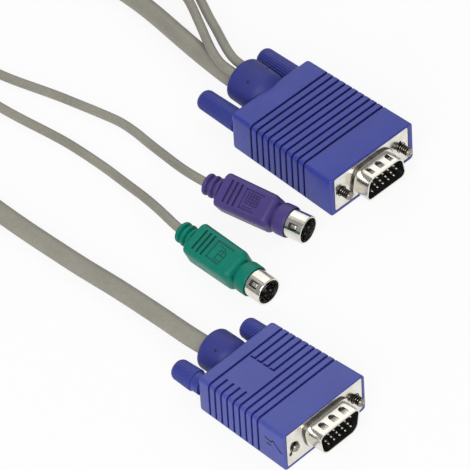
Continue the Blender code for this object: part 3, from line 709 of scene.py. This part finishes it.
def shell_shape(spec):
    """The flange, its raised skirt and the hollow D shell."""
    wide, tall, thick = PLATE
    plate = block((-thick, -wide / 2, -tall / 2), (0, wide / 2, tall / 2))
    round_off(plate, edges_of(plate, lambda a, b: abs(a.x - b.x) > 0.5), 0.6, 4)
    round_off(plate, edges_of(plate, lambda a, b: min(a.x, b.x) > -0.01), 0.12, 2)
    skirt = d_block(SHELL_REAR, SKIRT_LONG, SKIRT_OUT, spec)
    round_off(skirt, edges_of(skirt, lambda a, b: min(a.x, b.x) > 1.0), 0.35, 4)
    # Painted shade: all but the front of the skirt takes the dark nickel.
    for face in faces_of(skirt, lambda c, n: n.x < 0.75):
        face.material_index = STEEP
    barrel = d_block(SHELL_REAR, D_LENGTH, 0, spec)
    press_dimples(barrel)
    mouth = faces_of(barrel, lambda c, n: n.x > 0.99)
    inset(barrel, mouth, 0.05, 0.05)
    inset(barrel, mouth, 0.4, 0)
    walls = inset(barrel, mouth, 0.001, -D_MOUTH_DEEP)
    # Painted shade: the inside of the D shell, its metal walls included, is coloured black.
    for face in mouth + walls:
        face.material_index = INSIDE_SHELL
    shape = joined(plate, skirt, barrel)
    shape.transform(Matrix.Translation((0, 0, spec["axis"])))
    return shape


RING_IN, RING_OUT, NOTCH_RADIUS = 1.42, 1.75, 0.62
RING_REAR, RING_FRONT = -0.1, 0.03


def holes_shape(spec):
    """Flat black rings round the screws, each with a small black notch beside it: painted shade in
    the openings of the flange.
    """
    holes = []
    for side, (y, z) in zip((-1, 1), spec["notches"]):
        corners = [(RING_REAR, RING_IN), (RING_REAR, RING_OUT), (RING_FRONT, RING_OUT)]
        ring = turned([*corners, (RING_FRONT, RING_IN), (RING_REAR, RING_IN)], 40)
        corners = [(RING_REAR, NOTCH_RADIUS), (RING_FRONT, NOTCH_RADIUS)]
        notch = turned([(RING_REAR, 0), *corners, (RING_FRONT, 0)], 24)
        notch.transform(Matrix.Translation((0, y, z)) @ Matrix.Diagonal((1, 1, 1.3, 1)))
        shape = joined(ring, notch)
        shape.transform(Matrix.Translation((0, side * SCREW_SPACING / 2, spec["axis"])))
        holes.append(shape)
    return joined(*holes)


def make_connector(label, spec, place, plastic, shade):
    """The shown pieces of one video connector."""
    boss = boss_shape(spec)
    # The strain relief takes the darker painted-shade blue.
    for face in boss.faces:
        face.material_index = BOSS
    hood = joined(hood_shape(spec), boss)
    finishes, hidden = (plastic, shade, BOSS_BLUE_SHADE), [label + "_hood"]
    add_piece(label + "_moulding", hood, place, finishes, "cable", hidden)
    marks = ejector_marks(spec)
    if spec is HOOD_B:
        marks = joined(marks, *side_mark(spec))
    # The ejector marks and side strokes are drawn in the painted-shade blue.
    add_piece(label + "_ejector_marks", marks, place, BLUE_DEEP)
    finishes, hidden = (NICKEL, NICKEL_SHADE, BLACK), [label + "_shell"]
    add_piece(label + "_plating", shell_shape(spec), place, finishes, "cable", hidden)
    add_piece(label + "_screw_openings", holes_shape(spec), place, BLACK)
    for number in (1, 2):
        body = "thumbscrew_" + label[-1] + "_" + str(number)
        for kind, shape, finish, slot in (
            ("knob", knob_shape(spec, number), KNOB_BLUE, "blue_plastic"),
            ("screw", screw_shape(spec, number), (STEEL, STEEL_ROOT_SHADE), "screw_steel"),
        ):
            node = f"{label}_{kind}_{number}"
            add_piece(node + "_shown", shape, place, finish, body, [node])


# Round plugs
COLLAR_FRONT, BODY_FRONT, BODY_REAR, RELIEF_REAR = -5.8, -11.0, -29.9, -36.5
BODY_HALF = (5.45, 5.0)
BODY_CORNER = 2.3
BAR_HALF = 3.7
BAR_HALF_WIDE, BAR_DEEP = 0.42, 0.5
BARS = [BODY_REAR + 3.2 + 1.75 * i for i in range(3)]
RELIEF_CORE, RING_STEP, RING_LONG, RING_RADIUS = 2.4, 2.15, 1.4, 3.6
WINDOW_TILT = math.radians(22)
TAB_LOW, TAB_HIGH = (-3.9, -0.6, 3.5), (-2.2, 0.6, 3.88)


def plug_body_shape():
    """The grip: a rounded box with three bars, a round collar and a ringed relief."""
    wide, tall = BODY_HALF
    grip = block((BODY_REAR, -wide, -tall), (BODY_FRONT, wide, tall))
    for v in grip.verts:
        if v.co.x > -15:
            v.co.y *= 0.97
            v.co.z *= 0.98
    lengthwise = edges_of(grip, lambda a, b: abs(a.x - b.x) > 5)
    round_off(grip, lengthwise, BODY_CORNER, 8)
    round_off(grip, edges_of(grip, lambda a, b: min(a.x, b.x) > BODY_FRONT - 0.01), 2.1, 8)
    round_off(grip, edges_of(grip, lambda a, b: max(a.x, b.x) < BODY_REAR + 0.01), 0.9, 5)
    cut_across(grip, 0, [x + side * BAR_HALF_WIDE for x in BARS for side in (-1, 1)])
    cut_across(grip, 1, [-BAR_HALF, BAR_HALF], lambda c, n: n.z > 0.2)

    def in_bar(c, n):
        near = min(abs(c.x - x) for x in BARS) < BAR_HALF_WIDE
        return near and n.z > 0.4 and abs(c.y) < BAR_HALF

    sink(grip, faces_of(grip, in_bar), BAR_DEEP, 0.08)
    return joined(grip, collar_shape(), relief_shape())


def collar_shape():
    """The round collar in front of the grip, hollow where the metal shell goes in."""
    profile = [(BODY_FRONT - 2, 0), (BODY_FRONT - 2, 3.7), (BODY_FRONT - 0.3, 3.75)]
    profile += [(BODY_FRONT + 0.2, 3.95), (BODY_FRONT + 0.6, 4.35), (BODY_FRONT + 1.1, 4.72)]
    profile += [(BODY_FRONT + 1.7, 4.92), (BODY_FRONT + 2.3, 4.98)]
    profile += [(COLLAR_FRONT - 0.8, 4.98), (COLLAR_FRONT - 0.3, 4.93), (COLLAR_FRONT - 0.08, 4.82)]
    profile += [(COLLAR_FRONT, 4.72), (COLLAR_FRONT - 0.9, 4.62), (COLLAR_FRONT - 0.9, 0)]
    return turned(profile, 80)


def relief_shape():
    """Three rings round the lead behind the grip, each a little smaller."""
    profile = [(BODY_REAR + 1, 0), (BODY_REAR + 1, 2.5), (BODY_REAR - 0.65, 2.45)]
    for number in range(3):
        front = BODY_REAR - 0.7 - RING_STEP * number
        top = RING_RADIUS - 0.1 * number
        for i in range(7):
            t = i / 6
            profile.append((front - RING_LONG * t, top - 0.55 * abs(2 * t - 1) ** 4))
        if number < 2:
            profile += [(front - 1.45, RELIEF_CORE), (front - 2.1, RELIEF_CORE)]
    profile += [(RELIEF_REAR, RELIEF_CORE), (RELIEF_REAR, 0)]
    return turned(profile, 72)


LINE_LOW, LINE_HIGH = BODY_HALF[1] - 0.3, BODY_HALF[1] + 0.025
BOLD, PLAIN, FINE = 0.42, 0.3, 0.22


def stroke(a, b, wide):
    """A straight line pressed along the grip's upper face, from a to b in its plan."""
    a, b = Vector(a), Vector(b)
    half, long = wide / 2, (b - a).length
    shape = block((-half, -half, LINE_LOW), (long + half, half, LINE_HIGH))
    turn = Matrix.Rotation(math.atan2(b.y - a.y, b.x - a.x), 4, "Z")
    shape.transform(Matrix.Translation((a.x, a.y, 0)) @ turn)
    return shape


def line(points, wide):
    return [stroke(a, b, wide) for a, b in zip(points, points[1:])]


def frame_line():
    """The open frame round a sign."""
    rear, front, half = FRAME_REAR, FRAME_REAR + FRAME_LONG, FRAME_HALF
    return line([(front, half), (rear, half), (rear, -half), (front - 1.2, -half)], BOLD)


FRAME_REAR, FRAME_LONG, FRAME_HALF = BODY_REAR + 8.6, 6.1, 3.0


def keyboard_sign():
    """A frame with a small key grid in it."""
    first, last = FRAME_REAR + 1.1, FRAME_REAR + 5.1
    marks = frame_line()
    for row in range(5):
        x = first + 1.0 * row
        marks.append(stroke((x, -1.1), (x, 2.2), FINE))
    for column in range(5):
        y = -1.1 + 0.82 * column
        marks.append(stroke((first, y), (last, y), FINE))
    marks.append(stroke((first, -2.2), (last - 1.0, -2.2), PLAIN))
    return joined(*marks)


def mouse_sign():
    """A frame with a two-button mouse in it."""
    left, middle, right = FRAME_REAR + 2.6, FRAME_REAR + 3.8, FRAME_REAR + 5.0
    box = [(left, -2.2), (left, 0.6), (left + 0.4, 1.0), (right - 0.4, 1.0), (right, 0.6)]
    marks = frame_line() + line([*box, (right, -2.2), (left, -2.2)], 0.24)
    marks.append(stroke((left, -0.6), (right, -0.6), FINE))
    marks.append(stroke((middle, -0.6), (middle, 1.0), FINE))
    marks += line([(middle, 1.0), (middle, 1.8), (left - 1.0, 2.2)], FINE)
    return joined(*marks)


def make_plug(label, place, plastic, deep, sign):
    """The shown pieces of one round plug, with the tab that shows in its shell's window."""
    hidden = [label + "_plug_body"]
    add_piece(label + "_grip", plug_body_shape(), place, (plastic, deep), "cable", hidden)
    # The sign's lines are drawn in the painted-shade tint.
    add_piece(label + "_sign", sign, place, deep)
    tab = block(TAB_LOW, TAB_HIGH)
    round_off(tab, tab.edges[:], 0.08, 2)
    tab.transform(Matrix.Rotation(WINDOW_TILT, 4, "X"))
    add_piece(label + "_window_tab", tab, place, NICKEL)


make_connector("vga_a", HOOD_A, PLACE_A, BLUE, BLUE_SHADE)
make_connector("vga_b", HOOD_B, PLACE_B, BLUE_B_PAINTED_LIGHT, BLUE_SHADE_B)
make_plug("keyboard", KEYBOARD_PLACE, PURPLE, PURPLE_DEEP, keyboard_sign())
make_plug("mouse", MOUSE_PLACE, GREEN, GREEN_DEEP, mouse_sign())


# Cables
TRUNK_RADIUS = 3.0
LEAD_RADIUS = 1.45
LEAD_UP = 0.9
A_END = -HOOD_A["length"] - HOOD_A["boss"]
TRUNK_INSIDE, LEAD_INSIDE = 4.0, 2.0


def smooth_route(points, spacing):
    """Evenly spaced points on a smooth curve through given ones."""
    route = [Vector(p) for p in points]
    tangents = [route[1] - route[0]]
    for before, after in zip(route, route[2:]):
        tangents.append(after - before)
    tangents.append(route[-1] - route[-2])
    fine = []
    for i in range(len(route) - 1):
        first, last = route[i], route[i + 1]
        reach = (last - first).length / 3
        leave = first + tangents[i].normalized() * reach
        arrive = last - tangents[i + 1].normalized() * reach
        fine += interpolate_bezier(first, leave, arrive, last, 16)[:-1]
    fine.append(route[-1])
    spaced = [fine[0]]
    for point in fine[1:-1]:
        if (point - spaced[-1]).length >= spacing:
            spaced.append(point)
    spaced.append(fine[-1])
    return spaced


def from_hood(points):
    """Points measured from the first hood's front face, in the part's millimetres."""
    return [(x + FRONT_A, y, z) for x, y, z in points]


def lay_cord(name, points, radius):
    """A round cable along the points, and its length in metres."""
    curve = bpy.data.curves.new(name, "CURVE")
    curve.dimensions = "3D"
    curve.bevel_depth = radius * MM
    curve.bevel_resolution = 8
    curve.use_fill_caps = True
    line = curve.splines.new("POLY")
    line.points.add(len(points) - 1)
    for spot, point in zip(line.points, points):
        spot.co = (*(point * MM), 1)
    line.use_smooth = True
    made = bpy.data.objects.new(name, curve)
    bpy.context.scene.collection.objects.link(made)
    curve.materials.append(CABLE)
    length = sum((b - a).length for a, b in zip(points, points[1:]))
    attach(made, "cable")
    return made, length * MM


COIL_AT = Vector((-224.0 + FRONT_A, -38.0))
STEP = 2 * TRUNK_RADIUS
COIL_MEAN = 6 * STEP
COIL_LOW = 1.25 + TRUNK_RADIUS
LEVELS = [(1, 0), (0, 0), (-1, 0), (-1, 1), (0, 1), (1, 1)]
COIL_START, COIL_END = 75, 270 + 5 * 360
CHANGE = 60
BULGE = 3.2


def coil_points():
    """Six turns, three side by side and two high, each moving to the next place in turn."""
    points = []
    for degrees in range(COIL_START, COIL_END + 1, 6):
        turn, over = divmod(degrees - COIL_START, 360)
        share = min(over / CHANGE, 1) if turn else 1
        share = share * share * (3 - 2 * share)
        old, new = LEVELS[max(turn - 1, 0)], LEVELS[turn]
        out = old[0] + (new[0] - old[0]) * share
        rise = old[1] + (new[1] - old[1]) * share
        radius = COIL_MEAN + STEP * out
        if old[1] != new[1]:
            radius -= BULGE * 4 * share * (1 - share)
        a = math.radians(degrees)
        x, y = COIL_AT.x + radius * math.cos(a), COIL_AT.y + radius * math.sin(a)
        points.append((x, y, COIL_LOW + STEP * rise))
    return points


def behind_b(back, up):
    """A point on the second connector's own line, in the part's millimetres."""
    return PLACE_B @ Vector((-HOOD_B["length"] - HOOD_B["boss"] - back, 0, up)) / MM


def behind_plug(place, back):
    """A point on a lead's line out of its plug, in the part's millimetres."""
    return place @ Vector((RELIEF_REAR - back, 0, LEAD_UP)) / MM


TRUNK = from_hood(
    [
        (A_END + TRUNK_INSIDE, -0.4, 7.75),
        (A_END, -0.4, 7.7),
        (-60.6, -0.3, 7.4),
        (-70.0, 1.0, 6.5),
        (-79.9, 2.6, 5.6),
        (-88.8, 4.2, 4.8),
        (-97.9, 5.9, 3.9),
        (-107.5, 7.1, 3.2),
        (-118.0, 7.2, TRUNK_RADIUS),
        (-134.0, 5.4, TRUNK_RADIUS),
        (-152.0, 2.0, TRUNK_RADIUS),
        (-170.0, -1.2, TRUNK_RADIUS),
        (-186.0, -2.2, TRUNK_RADIUS + 0.2),
        (-200.0, -0.8, TRUNK_RADIUS + 0.8),
    ]
)
TRUNK += coil_points()
TRUNK += from_hood(
    [
        (-208, -80.2, 10.0),
        (-196, -79.4, 8.4),
        (-184, -78.0, 5.4),
        (-172, -76.4, 3.4),
        (-158, -75.8, TRUNK_RADIUS),
        (-145, -77.0, TRUNK_RADIUS),
        (-130, -79.0, TRUNK_RADIUS),
        (-100, -82.6, TRUNK_RADIUS),
        (-72, -84.4, TRUNK_RADIUS),
        (-40, -83.8, TRUNK_RADIUS),
        (-22, -82.8, 3.2),
        (-4.8, -82.9, 4.2),
    ]
)
TRUNK += [behind_b(9.5, 5.6), behind_b(0, 6.1), behind_b(-TRUNK_INSIDE, 6.2)]

LOW = LEAD_RADIUS
OVER = 2 * TRUNK_RADIUS + LEAD_RADIUS + 0.6
KEYBOARD_LEAD = [
    (-36.0, -37.3, 6.9),
    (-41, -36.9, 6.0),
    (-46.5, -36.0, 4.8),
    (-52, -34.9, 3.6),
    (-57.3, -33.9, 2.5),
    (-62.5, -33.0, 1.7),
    (-67.5, -32.4, LOW),
    (-74.1, -32.5, LOW),
    (-81.4, -33.9, LOW),
    (-88.3, -35.5, LOW),
    (-96.2, -37.4, LOW),
    (-116, -42.8, LOW),
    (-135, -45, LOW),
    (-151, -40.6, LOW),
    (-162.5, -28.5, LOW + 0.8),
    (-166, -12.5, 5),
    (-160.5, 3, OVER),
    (-147.5, 14.5, 6.2),
    (-131, 20.8, 3.2),
    (-117, 21.4, 4),
    (-104, 19, 6),
    (-92.3, 14.4, 8),
    (-82.9, 9.3, 9.3),
    (-77.8, 6.4, 10),
    (-72.8, 3.5, 10.7),
    (-67.2, 0.6, 11.4),
    (-61.5, -1.6, 12.2),
    (A_END, -2.6, 12.7),
    (A_END + TRUNK_INSIDE, -2.6, 12.8),
]
MOUSE_LEAD = [
    (-26.9, -55.5, 7.0),
    (-31.2, -54.6, 6.6),
    (-35.7, -53.5, 5.8),
    (-40.7, -52.3, 4.7),
    (-46.0, -51.2, 3.5),
    (-51.5, -50.3, 2.4),
    (-57, -49.6, 1.7),
    (-63, -49.2, LOW),
    (-73.9, -49.3, LOW),
    (-82, -49.8, LOW),
    (-103, -52.4, LOW),
    (-128, -53.6, LOW),
    (-150, -50.2, LOW),
    (-165.5, -39, LOW + 0.4),
    (-173, -21.5, 3.4),
    (-172.2, -2, OVER),
    (-161.5, 13.5, 6.4),
    (-144.5, 24, 3),
    (-124, 27.8, LOW + 0.3),
    (-110, 26.4, 3.2),
    (-100, 22.9, 5.2),
    (-90.6, 17.8, 7),
    (-81.8, 13.1, 8.2),
    (-75.4, 9.9, 9.3),
    (-69.1, 6.5, 10.6),
    (-63.6, 3.7, 11.8),
    (-58.9, 1.9, 12.8),
    (A_END, 1.4, 13.2),
    (A_END + TRUNK_INSIDE, 1.4, 13.2),
]


def pieces_of(*starts):
    """The shown pieces whose names start so."""
    found = [o for o in bpy.data.objects if o.name.startswith(starts)]
    return [o for o in found if o.type == "MESH" and not o.hide_render]


PLUG_PIECES = ("_plug", "_grip", "_sign", "_window")


def lay_cables():
    trunk, length = lay_cord("trunk_cable", smooth_route(TRUNK, 2.5), TRUNK_RADIUS - 0.05)
    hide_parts("trunk_a", "trunk_coil", "trunk_b")
    (A_END + FRONT_A) * MM
    for label, place, points, spot in (
        ("keyboard", KEYBOARD_PLACE, KEYBOARD_LEAD, (-0.0026, 0.0127)),
        ("mouse", MOUSE_PLACE, MOUSE_LEAD, (0.0014, 0.0132)),
    ):
        plug_ends = [behind_plug(place, -LEAD_INSIDE), behind_plug(place, 0)]
        route = smooth_route(plug_ends + from_hood(points), 2.0)
        route.reverse()
        lead, length = lay_cord(label + "_lead_cable", route, LEAD_RADIUS)
        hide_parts(label + "_lead")
        (A_END + FRONT_A) * MM
        pieces_of(*(label + end for end in PLUG_PIECES))


lay_cables()


# Floor and light
def make_floor():
    """Pale paper that glows white to the camera and in metal, and keeps the shadows."""
    shape = bmesh.new()
    bmesh.ops.create_grid(shape, x_segments=1, y_segments=1, size=6)
    mesh = bpy.data.meshes.new("floor")
    shape.to_mesh(mesh)
    shape.free()
    floor = bpy.data.objects.new("floor", mesh)
    bpy.context.scene.collection.objects.link(floor)
    finish = Finish("floor_paper", base_color=(0.9, 0.9, 0.9), roughness=0.9, specular=0.1)
    glow = finish.node("ShaderNodeEmission", {}, {"Color": (1, 1, 1, 1), "Strength": 1.0})
    seen = finish.node("ShaderNodeLightPath", {}, {}, "Is Camera Ray")
    mirrored = finish.node("ShaderNodeLightPath", {}, {}, "Is Glossy Ray")
    share = seen * 0.88 + mirrored * 0.85
    mixed = finish.node(
        "ShaderNodeMixShader",
        {},
        {0: share, 1: Socket(finish, finish.shader.outputs[0]), 2: glow},
    )
    output = finish.tree.nodes["Material Output"]
    finish.join(output.inputs["Surface"], mixed)
    mesh.materials.append(finish.material)


def make_lamp(name, place, aim, size, power):
    data = bpy.data.lights.new(name, "AREA")
    data.shape = "RECTANGLE"
    data.size, data.size_y = size
    data.energy = power
    lamp = bpy.data.objects.new(name, data)
    toward = Vector(aim) - Vector(place)
    turn = toward.to_track_quat("-Z", "Y").to_matrix().to_4x4()
    lamp.matrix_world = Matrix.Translation(place) @ turn
    bpy.context.scene.collection.objects.link(lamp)


def make_world():
    world = bpy.data.worlds.new("studio")
    bpy.context.scene.world = world
    world.use_nodes = True
    back = world.node_tree.nodes["Background"]
    back.inputs["Color"].default_value = (1, 1, 1, 1)
    back.inputs["Strength"].default_value = 0.32


make_floor()
make_world()
MIDDLE = (0.0, -0.04, 0.0)
make_lamp("back_softbox", (-0.75, 0.7, 1.15), MIDDLE, (1.7, 1.7), 9)
make_lamp("front_softbox", (0.7, -1.0, 0.95), MIDDLE, (1.3, 1.3), 20)
bpy.context.scene.view_settings.view_transform = "Standard"
